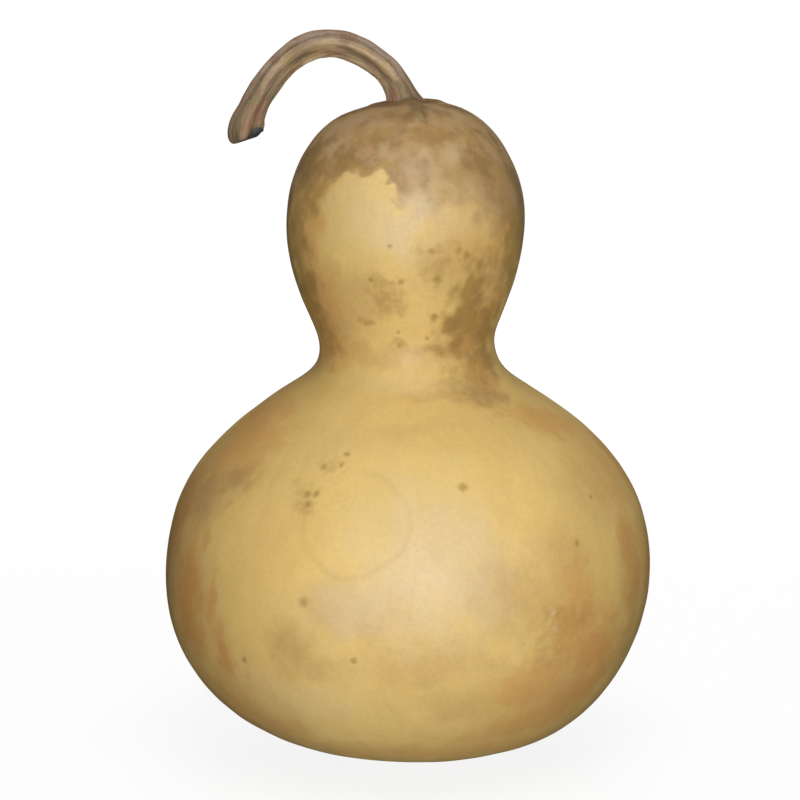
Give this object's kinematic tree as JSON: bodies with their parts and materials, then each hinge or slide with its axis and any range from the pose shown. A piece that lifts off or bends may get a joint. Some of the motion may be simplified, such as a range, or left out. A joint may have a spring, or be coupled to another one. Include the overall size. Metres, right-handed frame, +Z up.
{
  "type": "dried bottle gourd",
  "caption": "Dried bottle gourd with a wide round belly, a narrow waist, a smaller round head and a bent, ridged woody stem, standing on its base.",
  "frame": {"origin": "under the middle of the belly, on the plane that the gourd rests on", "axes": "+Z up from the base to the stem, +Y away from the side that the picture shows, +X to that side's right; the stem bends towards -X"},
  "size_m": [0.1853, 0.1828, 0.2724],
  "materials": {
    "gourd skin": "dry, smooth, faintly waxy rind in tan and straw yellow with brown mottling",
    "stem bark": "dry, matt, furrowed brown wood with grey and violet tints"
  },
  "bodies": {
    "root": {"gourd": "gourd skin", "stem": "stem bark"}
  },
  "joints": []
}
